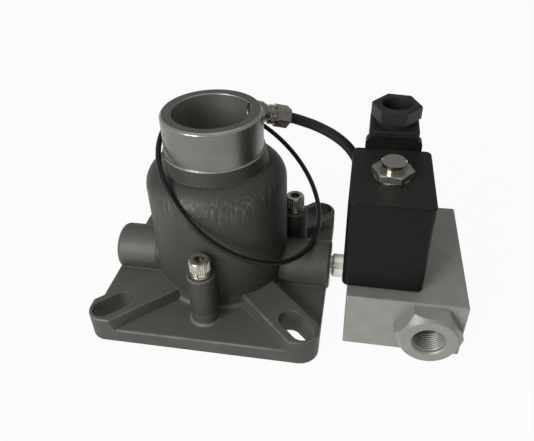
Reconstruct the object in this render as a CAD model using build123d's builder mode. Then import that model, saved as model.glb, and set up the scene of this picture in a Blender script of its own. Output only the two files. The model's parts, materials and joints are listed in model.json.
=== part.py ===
"""Air compressor intake valve with its solenoid control block.

The valve stands on its square flange: the origin is on the valve's axis at the underside of
the flange, +Z points up the inlet neck and +X points to the solenoid block.
"""

from build123d import *
from math import cos, radians, sin, tan
import os

# Fits and clearances
running_gap = 0.08  # radial, between a sliding piece and its bore
seat_gap = 0.3  # between two bodies that meet at the end of a travel
loose_gap = 0.15  # radial, between two fixed pieces that slip together

# Body casting
flange_side = 119.5
flange_corner_r = 9.5
plate_t = 8.0
plate_edge_r = 1.2
pad_top = 14.5
pad_w = 19.5
pad_foot_w = 22.5
pad_edge_r = 1.2
slot_w = 11.5
slot_l = 21.6
slot_reach = 68.0  # from the axis to each slot's middle, along the diagonal
dome_r = 36.3
dome_foot_r = 2.5
shoulder_z = 66.8  # where the dome's wall starts to round over
shoulder_half_w = 18.1
shoulder_half_h = 13.0
shoulder_sweep = 60.0
collar_top_r = 25.8
neck_z = 84.8
neck_r = 25.0
body_h = 104.5
neck_chamfer = 1.0
bore_r = 19.25
bore_depth = 28.0
throat_r = 17.8
seat_z = 70.0
chamber_r = 31.0
boss_r = 13.5
boss_z = 14.0
boss_end = 61.2
blind_boss_end = 60.4
blind_boss_edge_r = 3.2
nipple_boss_edge_r = 1.6
pillar_r = 7.2
pillar_foot_r = 2.0
pillar_top = 37.5
pillar_reach = 42.5
pillar_angles = (-90.0, 25.0, 155.0)
pillar_edge_r = 1.3

# Loose flange seal, draped over the valve, and its groove under the flange
flange_seal_half_w = 50.97
flange_seal_half_l = 49.58
flange_seal_w = 2.75
flange_groove_r = 51.5
flange_groove_depth = 2.0
draped_seal_centre = (12.85, 8.81, 60.29)
draped_seal_across = (0.52671, 0.79901, -0.29011)
draped_seal_normal = (0.61610, -0.12369, 0.77790)

# Guide base with its control cylinder
base_r = 47.8
base_t = 4.0
cylinder_wall_r = 18.5
cylinder_r = 15.0
cylinder_roof_z = 42.0
cylinder_top = 46.5
arm_w = 10.0
arm_top = 21.0
arm_angles = (0.0, 120.0, 240.0)
feed_r = 2.0
base_screw_hole_r = 2.6

# Cap screws of the guide base
screw_r = 3.0
screw_clear_r = 3.3
screw_head_r = 5.0
screw_head_h = 6.2
screw_key = 5.0
washer_r = 5.5
washer_t = 1.2
lock_washer_r = 5.1
lock_washer_t = 1.8
lock_washer_split = 0.6

# Cylinder cap
cap_t = 5.0
cap_z = 2.6
cap_seal_w = 1.8
ring_t = 1.2
ring_groove_depth = 1.0
ring_gap = 9.0

# Unloader piston and its spring
piston_t = 6.0
piston_seal_w = 3.0
piston_seal_t = 3.2
rod_r = 5.0
rod_bore_r = 3.1
rod_l = 33.4  # from the piston's underside to the rod's top
bush_wall = 1.5
piston_travel = 12.0
piston_spring_r = 9.0
piston_wire = 1.5
piston_coils = 4.0

# Valve disc
disc_r = 24.5
disc_t = 3.6
disc_seal_inner_r = 15.5
disc_seal_outer_r = 23.0
disc_seal_t = 1.8
disc_seal_depth = 1.3
hub_r = 6.2
hub_h = 3.5
stem_r = 3.0
stem_l = 26.0
clamp_t = 1.6
stud_r = 3.0
stud_h = 5.5
nut_af = 10.0
nut_h = 3.2
disc_travel = 12.0
disc_spring_r = 12.0
disc_wire = 1.4
disc_coils = 3.5

# Neck fitting and hose
fitting_angle = 30.0
fitting_tilt = 20.0  # below the horizontal
fitting_z = 98.4
fitting_flat_r = 6.6
fitting_flat_depth = 0.8
fitting_hole_r = 3.6
fitting_r = 4.3
fitting_root_r = 5.6
fitting_cone_l = 3.4
fitting_root_l = 3.0
fitting_thread_l = 4.2
fitting_collar_r = 4.9
fitting_collar_t = 1.4
fitting_body_l = 7.5
fitting_nut_af = 10.0
fitting_nut_l = 7.5
hose_r = 2.7
hose_in_nut = 3.0
hose_route_middle = ((47.6, 25.9, 86.4), (57.0, 26.1, 81.8), (64.3, 26.0, 76.4), (70.2, 25.8, 69.0))

# Control block
block_x = 71.2
block_w = 56.5
block_y = -44.3
block_d = 80.0
block_z = 2.0
block_h = 32.0
block_edge = 0.6
nipple_r = 6.6
nipple_bore_r = 3.0
nipple_grip = 11.0
nipple_neck_r = 5.2
nipple_neck_l = 0.8
outlet_x = 75.5
outlet_y = 25.6
outlet_r = 1.8
block_fitting_h = 6.0
port_x = 111.0
port_af = 28.0
port_l = 8.5
port_face_r = 13.0
port_cone_l = 4.0
port_hole_r = 7.6
port_mouth_r = 8.4
port_depth = 15.0
port_spigot_r = 10.5
port_spigot_l = 10.0
port_drill_r = 3.0
plug_r = 4.5
plug_l = 6.0
plug_key = 5.0
cross_z = 12.0

# Solenoid
coil_x = 87.5
coil_y = -12.4
coil_w = 38.0
coil_d = 50.0
coil_h = 48.7
coil_edge_r = 3.0
tube_r = 5.8
tube_flange_r = 9.0
tube_flange_h = 11.0
tube_bore_r = 4.7
tube_top = 91.0
tube_edge_r = 0.7
core_z = 62.0
valve_seat_z = 21.0
valve_seat_r = 3.0
orifice_r = 1.2
plunger_top = 58.4
plunger_travel = 3.0
plunger_seal_r = 2.6
plunger_seal_t = 2.0
plunger_spring_r = 2.3
plunger_wire = 0.6
plunger_coils = 7.0
plunger_pocket = 9.0
coil_washer_r = 8.8
coil_washer_t = 0.6
coil_nut_af = 17.0
coil_nut_t = 3.4
coil_nut_turn = -8.0

# Cable plug on the back of the coil
plug_w = 27.5
plug_base_z = 60.5
plug_gasket_t = 1.5
plug_base_t = 3.5
plug_body_w = 24.5
plug_body_d = 20.5
plug_corner_r = 3.0
plug_body_z = 62.5
plug_body_top = 91.0
gland_r = 9.6
gland_neck_top = 94.0
gland_nut_af = 21.6
gland_nut_top = 101.0
gland_mouth_r = 7.3
gland_turn = -7.0
plug_screw_r = 1.5
plug_screw_head_r = 3.2
plug_screw_head_h = 2.4

# Worked-out places
bore_step_z = body_h - bore_depth
block_top = block_z + block_h
coil_top = block_top + coil_h
coil_back = coil_y + coil_d / 2
plug_x = coil_x + 0.5
gland_x = coil_x + 0.7
gland_y = coil_back + plug_gasket_t + plug_base_t + plug_body_d / 2 - 1.5
disc_top = seat_z - seat_gap - disc_seal_t + disc_seal_depth
disc_under = disc_top - disc_t
hub_under = disc_under - hub_h
rod_top = hub_under - seat_gap
piston_z = rod_top - rod_l
port_y = block_y - port_l
port_z = block_z + block_h / 2
port_corner_r = port_af / 2 / cos(radians(30))
chamber_roof = seat_z
pillar_places = [
    Location((pillar_reach * cos(radians(angle)), pillar_reach * sin(radians(angle)), 0), (0, 0, angle))
    for angle in pillar_angles
]

os.makedirs("parts", exist_ok=True)


def save(part, name):
    """Label a finished piece and write it under its own name."""
    part.label = name
    export_step(part, f"parts/{name}.step")


def spring(mean_r, wire, coils, low, high, centre=(0.0, 0.0)):
    """A helical spring of round wire between two heights."""
    free = high - low - wire
    with BuildPart() as coil_spring:
        with BuildLine(Plane((centre[0], centre[1], low + wire / 2))) as helix:
            Helix(pitch=free / coils, height=free, radius=mean_r)
        with BuildSketch(Plane(helix.line @ 0, z_dir=helix.line % 0)):
            Circle(wire / 2)
        sweep(is_frenet=True)
    return coil_spring.part


# The slots' outline in the flange: one obround along each diagonal
with BuildSketch() as slot_outline:
    with PolarLocations(slot_reach, 4, start_angle=45):
        SlotOverall(slot_l, slot_w)

# Body casting: flange, pads, dome, pillars and side bosses, then the machined inside
fitting_direction = Vector(
    cos(radians(fitting_tilt)) * cos(radians(fitting_angle)),
    cos(radians(fitting_tilt)) * sin(radians(fitting_angle)),
    -sin(radians(fitting_tilt)),
)
fitting_root = Vector(
    neck_r * cos(radians(fitting_angle)), neck_r * sin(radians(fitting_angle)), fitting_z
)
fitting_plane = Plane(fitting_root, z_dir=fitting_direction)
fitting_flat = Plane(fitting_root, z_dir=Vector(fitting_root.X, fitting_root.Y, 0)).offset(
    -fitting_flat_depth
)

with BuildPart() as flange:
    with BuildSketch():
        RectangleRounded(flange_side, flange_side, flange_corner_r)
    extrude(amount=plate_t)
    fillet(flange.faces().sort_by(Axis.Z)[-1].edges(), plate_edge_r)

with BuildPart() as pads:
    for angle in (45, 135):
        along = Vector(cos(radians(angle)), sin(radians(angle)), 0)
        with BuildSketch(Plane((0, 0, 0), x_dir=Vector(-along.Y, along.X, 0), z_dir=along)):
            with BuildLine():
                Polyline(
                    (-pad_foot_w / 2, 0),
                    (-pad_foot_w / 2, plate_t),
                    (-pad_w / 2, pad_top),
                    (pad_w / 2, pad_top),
                    (pad_foot_w / 2, plate_t),
                    (pad_foot_w / 2, 0),
                    (-pad_foot_w / 2, 0),
                )
            make_face()
        extrude(amount=flange_side, both=True)
    with BuildSketch():
        RectangleRounded(flange_side, flange_side, flange_corner_r)
    extrude(amount=pad_top, mode=Mode.INTERSECT)
    fillet(pads.faces().sort_by(Axis.Z)[-1].edges(), pad_edge_r)

with BuildPart() as dome:
    with BuildSketch(Plane.XZ):
        with BuildLine():
            Line((0, 0), (dome_r + dome_foot_r, 0))
            Line((dome_r + dome_foot_r, 0), (dome_r + dome_foot_r, plate_t))
            RadiusArc(
                (dome_r + dome_foot_r, plate_t), (dome_r, plate_t + dome_foot_r), dome_foot_r
            )
            Line((dome_r, plate_t + dome_foot_r), (dome_r, shoulder_z))
            shoulder = EllipticalCenterArc(
                (dome_r - shoulder_half_w, shoulder_z),
                shoulder_half_w,
                shoulder_half_h,
                arc_size=shoulder_sweep,
            )
            Polyline(
                shoulder @ 1,
                (collar_top_r, neck_z),
                (neck_r, neck_z),
                (neck_r, body_h - neck_chamfer),
                (neck_r - neck_chamfer, body_h),
                (0, body_h),
                (0, 0),
            )
        make_face()
    revolve(axis=Axis.Z)

with BuildPart() as pillar:
    with BuildSketch(Plane.XZ):
        with BuildLine():
            Polyline((0, 0), (pillar_r + pillar_foot_r, 0), (pillar_r + pillar_foot_r, plate_t))
            RadiusArc(
                (pillar_r + pillar_foot_r, plate_t),
                (pillar_r, plate_t + pillar_foot_r),
                pillar_foot_r,
            )
            Polyline(
                (pillar_r, plate_t + pillar_foot_r), (pillar_r, pillar_top), (0, pillar_top), (0, 0)
            )
        make_face()
    revolve(axis=Axis.Z)
    fillet(pillar.faces().sort_by(Axis.Z)[-1].edges(), pillar_edge_r)

with BuildPart() as side_boss:
    with BuildSketch(Plane.YZ.offset(-blind_boss_end)):
        with Locations((0, boss_z)):
            Circle(boss_r)
    extrude(amount=blind_boss_end + boss_end)
    fillet(side_boss.edges().sort_by(Axis.X)[0], blind_boss_edge_r)
    fillet(side_boss.edges().sort_by(Axis.X)[-1], nipple_boss_edge_r)

with BuildPart() as body_casting:
    add(flange.part)
    add(pads.part)
    add(dome.part)
    add(side_boss.part)
    with Locations(*pillar_places):
        add(pillar.part)
    with BuildSketch(Plane.XZ):
        with BuildLine():
            Polyline(
                (0, 0),
                (chamber_r, 0),
                (chamber_r, chamber_roof),
                (throat_r, chamber_roof),
                (throat_r, bore_step_z),
                (bore_r, bore_step_z),
                (bore_r, body_h - neck_chamfer / 2),
                (bore_r + neck_chamfer, body_h + neck_chamfer / 2),
                (0, body_h + neck_chamfer / 2),
                (0, 0),
            )
        make_face()
    revolve(axis=Axis.Z, mode=Mode.SUBTRACT)
    with BuildSketch():
        Circle(base_r + loose_gap)
    extrude(amount=base_t, mode=Mode.SUBTRACT)
    with BuildSketch():
        Circle(flange_groove_r + flange_seal_w / 2)
        Circle(flange_groove_r - flange_seal_w / 2, mode=Mode.SUBTRACT)
    extrude(amount=flange_groove_depth, mode=Mode.SUBTRACT)
    add(slot_outline.sketch)
    extrude(amount=pad_top, mode=Mode.SUBTRACT)
    with BuildSketch(Plane.XY.offset(base_t)):
        with Locations(*pillar_places):
            Circle(screw_clear_r)
    extrude(amount=pillar_top, mode=Mode.SUBTRACT)
    with BuildSketch(Plane.YZ.offset(boss_end)):
        with Locations((0, boss_z)):
            Circle(nipple_r)
    extrude(amount=-nipple_grip, mode=Mode.SUBTRACT)
    with BuildSketch(Plane.YZ.offset(chamber_r - 1)):
        with Locations((0, boss_z)):
            Circle(feed_r)
    extrude(amount=boss_end - chamber_r, mode=Mode.SUBTRACT)
    with BuildSketch(fitting_flat):
        Circle(fitting_flat_r)
    extrude(amount=fitting_flat_r, mode=Mode.SUBTRACT)
    with BuildSketch(fitting_plane):
        Circle(fitting_hole_r)
    extrude(amount=-(neck_r - bore_r + fitting_hole_r), mode=Mode.SUBTRACT)
save(body_casting.part, "body_casting")

# Guide base: bolted ring, three arms and the control cylinder in one casting
with BuildPart() as guide_base:
    with BuildSketch():
        Circle(base_r)
    extrude(amount=base_t)
    with BuildSketch():
        Circle(chamber_r)
    extrude(amount=base_t, mode=Mode.SUBTRACT)
    with BuildSketch():
        for angle in arm_angles:
            with Locations(Location((0, 0, 0), (0, 0, angle))):
                with Locations((chamber_r / 2, 0)):
                    Rectangle(chamber_r, arm_w)
        Circle(chamber_r - loose_gap, mode=Mode.INTERSECT)
    extrude(amount=arm_top)
    with BuildSketch():
        Circle(cylinder_wall_r)
    extrude(amount=cylinder_top)
    fillet(guide_base.faces().sort_by(Axis.Z)[-1].edges(), pad_edge_r)
    with BuildSketch():
        for angle in arm_angles:
            with Locations(Location((0, 0, 0), (0, 0, angle))):
                with Locations((chamber_r, 0)):
                    Rectangle(2, arm_w)
        Circle(base_r, mode=Mode.INTERSECT)
    extrude(amount=base_t)
    with BuildSketch(Plane.XZ):
        with BuildLine():
            Polyline(
                (0, 0),
                (cylinder_r, 0),
                (cylinder_r, ring_t),
                (cylinder_r + ring_groove_depth, ring_t),
                (cylinder_r + ring_groove_depth, cap_z),
                (cylinder_r, cap_z),
                (cylinder_r, cylinder_roof_z),
                (rod_r + bush_wall, cylinder_roof_z),
                (rod_r + bush_wall, cylinder_top),
                (0, cylinder_top),
                (0, 0),
            )
        make_face()
    revolve(axis=Axis.Z, mode=Mode.SUBTRACT)
    with BuildSketch():
        with Locations(*pillar_places):
            Circle(base_screw_hole_r)
    extrude(amount=base_t, mode=Mode.SUBTRACT)
    with BuildSketch(Plane.YZ.offset(cylinder_r - 1)):
        with Locations((0, boss_z)):
            Circle(feed_r)
    extrude(amount=chamber_r, mode=Mode.SUBTRACT)
    with BuildSketch(Plane.YZ.offset(chamber_r - loose_gap)):
        with Locations((0, boss_z)):
            Circle(feed_r + cap_seal_w)
    extrude(amount=-cap_seal_w, mode=Mode.SUBTRACT)
save(guide_base.part, "guide_base")

# Feed seal: the small ring that joins the arm's drilling to the body's drilling
with BuildPart() as feed_seal:
    with BuildSketch(Plane.YZ.offset(chamber_r - loose_gap - cap_seal_w)):
        with Locations((0, boss_z)):
            Circle(feed_r + cap_seal_w)
            Circle(feed_r, mode=Mode.SUBTRACT)
    extrude(amount=cap_seal_w + loose_gap)
    with BuildSketch():
        Circle(chamber_r)
    extrude(amount=arm_top, mode=Mode.INTERSECT)
save(feed_seal.part, "feed_seal")

# Rod bush in the cylinder's roof
with BuildPart() as rod_bush:
    with BuildSketch(Plane.XY.offset(cylinder_roof_z)):
        Circle(rod_r + bush_wall)
        Circle(rod_r + running_gap, mode=Mode.SUBTRACT)
    extrude(amount=cylinder_top - cylinder_roof_z)
save(rod_bush.part, "rod_bush")

# Cylinder cap with its seal groove, its seal and the ring that holds it
with BuildPart() as cylinder_cap:
    with BuildSketch(Plane.XZ):
        with BuildLine():
            Polyline(
                (0, cap_z),
                (cylinder_r, cap_z),
                (cylinder_r, cap_z + (cap_t - cap_seal_w) / 2),
                (cylinder_r - cap_seal_w, cap_z + (cap_t - cap_seal_w) / 2),
                (cylinder_r - cap_seal_w, cap_z + (cap_t + cap_seal_w) / 2),
                (cylinder_r, cap_z + (cap_t + cap_seal_w) / 2),
                (cylinder_r, cap_z + cap_t),
                (0, cap_z + cap_t),
                (0, cap_z),
            )
        make_face()
    revolve(axis=Axis.Z)
save(cylinder_cap.part, "cylinder_cap")

with BuildPart() as cap_seal:
    with BuildSketch(Plane.XZ):
        with Locations((cylinder_r - cap_seal_w / 2, cap_z + cap_t / 2)):
            Circle(cap_seal_w / 2)
    revolve(axis=Axis.Z)
save(cap_seal.part, "cap_seal")

with BuildPart() as retaining_ring:
    with BuildSketch(Plane.XY.offset(cap_z - ring_t)):
        Circle(cylinder_r + ring_groove_depth)
        Circle(cylinder_r - ring_groove_depth, mode=Mode.SUBTRACT)
        with Locations((-cylinder_r, 0)):
            Rectangle(4 * ring_groove_depth, ring_gap, mode=Mode.SUBTRACT)
    extrude(amount=ring_t)
save(retaining_ring.part, "retaining_ring")

# Cap screws, lock washers and plain washers that hold the guide base
washer_z = pillar_top
lock_z = washer_z + washer_t
head_z = lock_z + lock_washer_t
with BuildPart() as cap_screws:
    with BuildSketch():
        with Locations(*pillar_places):
            Circle(base_screw_hole_r)
    extrude(amount=base_t)
    with BuildSketch(Plane.XY.offset(base_t)):
        with Locations(*pillar_places):
            Circle(screw_r)
    extrude(amount=head_z - base_t)
    with BuildSketch(Plane.XY.offset(head_z)):
        with Locations(*pillar_places):
            Circle(screw_head_r)
    extrude(amount=screw_head_h)
    chamfer(cap_screws.edges().group_by(Axis.Z)[-1], screw_head_h / 12)
    with BuildSketch(Plane.XY.offset(head_z + screw_head_h)):
        with Locations(*pillar_places):
            RegularPolygon(screw_key / 2, 6, major_radius=False)
    extrude(amount=-screw_head_h / 2, mode=Mode.SUBTRACT)
save(cap_screws.part, "cap_screws")

with BuildPart() as lock_washers:
    with BuildSketch(Plane.XY.offset(lock_z)):
        with Locations(*pillar_places):
            Circle(lock_washer_r)
            Circle(screw_clear_r, mode=Mode.SUBTRACT)
        with Locations(*[place * Location((lock_washer_r, 0, 0)) for place in pillar_places]):
            Rectangle(lock_washer_r, lock_washer_split, mode=Mode.SUBTRACT)
    extrude(amount=lock_washer_t)
save(lock_washers.part, "lock_washers")

with BuildPart() as plain_washers:
    with BuildSketch(Plane.XY.offset(washer_z)):
        with Locations(*pillar_places):
            Circle(washer_r)
            Circle(screw_clear_r, mode=Mode.SUBTRACT)
    extrude(amount=washer_t)
save(plain_washers.part, "plain_washers")

# Flange seal: the round rubber ring that hangs round the neck and rests on the right boss
seal_plane = Plane(draped_seal_centre, x_dir=draped_seal_across, z_dir=draped_seal_normal)
seal_start = seal_plane.from_local_coords((flange_seal_half_w, 0, 0))
with BuildPart() as flange_seal:
    with BuildLine(seal_plane):
        EllipticalCenterArc((0, 0), flange_seal_half_w, flange_seal_half_l, arc_size=360)
    with BuildSketch(Plane(seal_start, z_dir=seal_plane.y_dir)):
        Circle(flange_seal_w / 2)
    sweep()
save(flange_seal.part, "flange_seal")

# Unloader piston: one turned piece with its hollow rod
groove_low = piston_z + (piston_t - piston_seal_t) / 2
groove_high = piston_z + (piston_t + piston_seal_t) / 2
piston_r = cylinder_r - running_gap
with BuildPart() as piston:
    with BuildSketch(Plane.XZ):
        with BuildLine():
            Polyline(
                (0, piston_z),
                (piston_r, piston_z),
                (piston_r, groove_low),
                (piston_r - piston_seal_w, groove_low),
                (piston_r - piston_seal_w, groove_high),
                (piston_r, groove_high),
                (piston_r, piston_z + piston_t),
                (rod_r, piston_z + piston_t),
                (rod_r, rod_top),
                (rod_bore_r, rod_top),
                (rod_bore_r, piston_z + piston_t / 2),
                (0, piston_z + piston_t / 2),
                (0, piston_z),
            )
        make_face()
    revolve(axis=Axis.Z)
save(piston.part, "piston")

with BuildPart() as piston_seal:
    with BuildSketch(Plane.XZ):
        with BuildLine():
            Polyline(
                (piston_r - piston_seal_w, groove_low),
                (piston_r, groove_low),
                (piston_r, groove_high),
                (piston_r - piston_seal_w / 3, groove_high),
                (piston_r - piston_seal_w / 2, groove_low + piston_seal_t / 2),
                (piston_r - 2 * piston_seal_w / 3, groove_high),
                (piston_r - piston_seal_w, groove_high),
                (piston_r - piston_seal_w, groove_low),
            )
        make_face()
    revolve(axis=Axis.Z)
save(piston_seal.part, "piston_seal")
save(
    spring(
        piston_spring_r,
        piston_wire,
        piston_coils,
        cap_z + cap_t,
        piston_z - seat_gap,
    ),
    "piston_spring",
)

# Valve disc: plate, hub, stem and stud in one turning
with BuildPart() as valve_disc:
    with BuildSketch(Plane.XZ):
        with BuildLine():
            Polyline(
                (0, hub_under - stem_l),
                (stem_r, hub_under - stem_l),
                (stem_r, hub_under),
                (hub_r, hub_under),
                (hub_r, disc_under),
                (disc_r, disc_under),
                (disc_r, disc_top),
                (disc_seal_outer_r, disc_top),
                (disc_seal_outer_r, disc_top - disc_seal_depth),
                (disc_seal_inner_r - 2, disc_top - disc_seal_depth),
                (disc_seal_inner_r - 2, disc_top),
                (stud_r, disc_top),
                (stud_r, disc_top + stud_h),
                (0, disc_top + stud_h),
                (0, hub_under - stem_l),
            )
        make_face()
    revolve(axis=Axis.Z)
    chamfer(valve_disc.edges().sort_by(Axis.Z)[-1], stud_r / 6)
save(valve_disc.part, "valve_disc")

with BuildPart() as disc_seal:
    with BuildSketch(Plane.XY.offset(disc_top - disc_seal_depth)):
        Circle(disc_seal_outer_r)
        Circle(disc_seal_inner_r - 2, mode=Mode.SUBTRACT)
    extrude(amount=disc_seal_t)
save(disc_seal.part, "disc_seal")

clamp_z = disc_top - disc_seal_depth + disc_seal_t
with BuildPart() as clamp_plate:
    with BuildSketch(Plane.XZ):
        with BuildLine():
            Polyline(
                (stud_r, disc_top),
                (disc_seal_inner_r - 2, disc_top),
                (disc_seal_inner_r - 2, clamp_z),
                (disc_seal_inner_r, clamp_z),
                (disc_seal_inner_r, clamp_z + clamp_t / 2),
                (disc_seal_inner_r - clamp_t / 2, clamp_z + clamp_t),
                (stud_r, clamp_z + clamp_t),
                (stud_r, disc_top),
            )
        make_face()
    revolve(axis=Axis.Z)
save(clamp_plate.part, "clamp_plate")

with BuildPart() as clamp_nut:
    with BuildSketch(Plane.XY.offset(clamp_z + clamp_t)):
        RegularPolygon(nut_af / 2, 6, major_radius=False)
        Circle(stud_r, mode=Mode.SUBTRACT)
    extrude(amount=nut_h)
save(clamp_nut.part, "clamp_nut")
save(
    spring(disc_spring_r, disc_wire, disc_coils, cylinder_top, disc_under - seat_gap),
    "disc_spring",
)

# Neck fitting: body screwed into the neck's flat, and its hexagon nut on the hose
collar_low = fitting_body_l - 2 * fitting_collar_t
nut_low = fitting_body_l
fitting_side = Vector(-sin(radians(fitting_angle)), cos(radians(fitting_angle)), 0)
fitting_section = Plane(
    fitting_root, x_dir=fitting_side, z_dir=fitting_side.cross(fitting_direction)
)
with BuildPart() as neck_fitting:
    with BuildSketch(fitting_section):
        with BuildLine():
            Polyline(
                (fitting_hole_r / 2, -fitting_thread_l),
                (fitting_hole_r, -fitting_thread_l),
                (fitting_hole_r, -fitting_root_l),
                (fitting_root_r, -fitting_root_l),
                (fitting_root_r, 0),
                (fitting_r, fitting_cone_l),
                (fitting_r, collar_low),
                (fitting_collar_r, collar_low),
                (fitting_collar_r, collar_low + fitting_collar_t),
                (fitting_r, collar_low + fitting_collar_t),
                (fitting_r, fitting_body_l),
                (fitting_hole_r / 2, fitting_body_l),
                (fitting_hole_r / 2, -fitting_thread_l),
            )
        make_face()
    revolve(axis=Axis(fitting_root, fitting_direction))
    add(body_casting.part, mode=Mode.SUBTRACT)
save(neck_fitting.part, "neck_fitting")

with BuildPart() as neck_fitting_nut:
    with BuildSketch(fitting_plane.offset(nut_low)):
        RegularPolygon(fitting_nut_af / 2, 6, major_radius=False)
    extrude(amount=fitting_nut_l)
    with BuildSketch(fitting_plane.offset(nut_low + fitting_nut_l)):
        Circle(hose_r)
    extrude(amount=-hose_in_nut, mode=Mode.SUBTRACT)
save(neck_fitting_nut.part, "neck_fitting_nut")

# Block fitting: the same pair, upright on the block behind the coil
block_fitting_plane = Plane((outlet_x, outlet_y, block_top))
with BuildPart() as block_fitting:
    with BuildSketch(block_fitting_plane.offset(-block_fitting_h)):
        Circle(fitting_hole_r)
    extrude(amount=block_fitting_h)
    with BuildSketch(block_fitting_plane):
        Circle(fitting_r)
    extrude(amount=block_fitting_h)
    with BuildSketch(block_fitting_plane.offset(-block_fitting_h)):
        Circle(outlet_r)
    extrude(amount=2 * block_fitting_h, mode=Mode.SUBTRACT)
save(block_fitting.part, "block_fitting")

with BuildPart() as block_fitting_nut:
    with BuildSketch(block_fitting_plane.offset(block_fitting_h)):
        RegularPolygon(fitting_nut_af / 2, 6, major_radius=False)
    extrude(amount=fitting_nut_l)
    with BuildSketch(block_fitting_plane.offset(block_fitting_h + fitting_nut_l)):
        Circle(hose_r)
    extrude(amount=-hose_in_nut, mode=Mode.SUBTRACT)
save(block_fitting_nut.part, "block_fitting_nut")

# Hose between the two nuts: straight runs joined by tangent arcs
hose_start = fitting_root + fitting_direction * (nut_low + fitting_nut_l - hose_in_nut)
hose_end = Vector(outlet_x, outlet_y, block_top + block_fitting_h + fitting_nut_l - hose_in_nut)
hose_lead = fitting_root + fitting_direction * (nut_low + fitting_nut_l + 4)
hose_drop = Vector(outlet_x, outlet_y, hose_end.Z + 9)
hose_points = [hose_start, hose_lead]
hose_points += [Vector(*point) for point in hose_route_middle]
hose_points += [hose_drop, hose_end]
hose_radii = []
for before, corner, after in zip(hose_points, hose_points[1:], hose_points[2:]):
    turn = (corner - before).get_angle(after - corner)
    shorter = min((corner - before).length, (after - corner).length)
    hose_radii.append(0.45 * shorter / tan(radians(turn / 2)))
print("hose arc radii, mm:", [round(radius, 1) for radius in hose_radii])
with BuildPart() as bleed_hose:
    with BuildLine() as hose_path:
        FilletPolyline(*hose_points, radius=hose_radii)
    with BuildSketch(Plane(hose_start, z_dir=fitting_direction)):
        Circle(hose_r)
    sweep()
hose_length = sum(edge.length for edge in hose_path.edges())
hose_check = bleed_hose.part.volume / (hose_length * 3.14159265 * hose_r**2)
print("hose length, mm:", round(hose_length, 1), "volume against length:", round(hose_check, 4))
save(bleed_hose.part, "bleed_hose")

# Nipple between the right boss and the block
with BuildPart() as nipple:
    with BuildSketch(Plane.XZ):
        with BuildLine():
            Polyline(
                (boss_end - nipple_grip + 1, boss_z + nipple_bore_r),
                (boss_end - nipple_grip + 1, boss_z + nipple_r),
                (boss_end, boss_z + nipple_r),
                (boss_end, boss_z + nipple_neck_r),
                (boss_end + nipple_neck_l, boss_z + nipple_neck_r),
            )
            RadiusArc(
                (boss_end + nipple_neck_l, boss_z + nipple_neck_r),
                (boss_end + nipple_neck_l + nipple_r - nipple_neck_r, boss_z + nipple_r),
                nipple_r - nipple_neck_r,
            )
            Polyline(
                (boss_end + nipple_neck_l + nipple_r - nipple_neck_r, boss_z + nipple_r),
                (block_x + nipple_grip - 1, boss_z + nipple_r),
                (block_x + nipple_grip - 1, boss_z + nipple_bore_r),
                (boss_end - nipple_grip + 1, boss_z + nipple_bore_r),
            )
        make_face()
    revolve(axis=Axis((0, 0, boss_z), (1, 0, 0)))
save(nipple.part, "nipple")

# Control block with its drillings
block_mid_x = block_x + block_w / 2
block_mid_y = block_y + block_d / 2
with BuildPart() as control_block:
    with BuildSketch(Plane.XY.offset(block_z)):
        with Locations((block_mid_x, block_mid_y)):
            Rectangle(block_w, block_d)
    extrude(amount=block_h)
    chamfer(control_block.edges(), block_edge)
    with BuildSketch(Plane.XY.offset(block_top)):
        with Locations((coil_x, coil_y)):
            Circle(tube_flange_r)
    extrude(amount=-tube_flange_h, mode=Mode.SUBTRACT)
    with BuildSketch(Plane.XY.offset(block_top - tube_flange_h)):
        with Locations((coil_x, coil_y)):
            Circle(tube_flange_r - 2)
            Circle(valve_seat_r, mode=Mode.SUBTRACT)
    extrude(amount=-3, mode=Mode.SUBTRACT)
    with BuildSketch(Plane.XY.offset(block_top - tube_flange_h)):
        with Locations((coil_x, coil_y)):
            Circle(valve_seat_r)
    extrude(amount=valve_seat_z - block_top + tube_flange_h, mode=Mode.SUBTRACT)
    with BuildSketch(Plane.XY.offset(valve_seat_z)):
        with Locations((coil_x, coil_y)):
            Circle(orifice_r)
    extrude(amount=cross_z - valve_seat_z, mode=Mode.SUBTRACT)
    with BuildSketch(Plane.YZ.offset(block_x + block_w)):
        with Locations((coil_y, cross_z)):
            Circle(outlet_r)
    extrude(amount=coil_x - block_x - block_w, mode=Mode.SUBTRACT)
    with BuildSketch(Plane.YZ.offset(block_x + block_w)):
        with Locations((coil_y, cross_z)):
            Circle(plug_r)
    extrude(amount=-plug_l, mode=Mode.SUBTRACT)
    with BuildSketch(Plane.XZ.offset(-block_y)):
        with Locations((port_x, port_z)):
            Circle(port_spigot_r)
    extrude(amount=-port_spigot_l, mode=Mode.SUBTRACT)
    with BuildSketch(Plane.XZ.offset(-block_y)):
        with Locations((port_x, port_z)):
            Circle(port_drill_r)
    extrude(amount=block_y - coil_y - outlet_r, mode=Mode.SUBTRACT)
    with BuildSketch(Plane.YZ.offset(block_x)):
        with Locations((0, boss_z)):
            Circle(nipple_r)
    extrude(amount=nipple_grip, mode=Mode.SUBTRACT)
    with BuildSketch(Plane.XY.offset(block_top)):
        with Locations((outlet_x, outlet_y)):
            Circle(fitting_hole_r)
    extrude(amount=-block_fitting_h, mode=Mode.SUBTRACT)
    with BuildSketch(Plane.XY.offset(block_top)):
        with Locations((outlet_x, outlet_y)):
            Circle(outlet_r)
    extrude(amount=boss_z - block_top, mode=Mode.SUBTRACT)
    with BuildSketch(Plane.XZ.offset(-outlet_y)):
        with Locations((outlet_x, boss_z)):
            Circle(outlet_r)
    extrude(amount=outlet_y, mode=Mode.SUBTRACT)
    with BuildSketch(Plane.XZ):
        with Locations((coil_x - tube_flange_r + 4, valve_seat_z - 0.5)):
            Circle(1.2)
    extrude(amount=-coil_y, mode=Mode.SUBTRACT)
save(control_block.part, "control_block")

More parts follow.
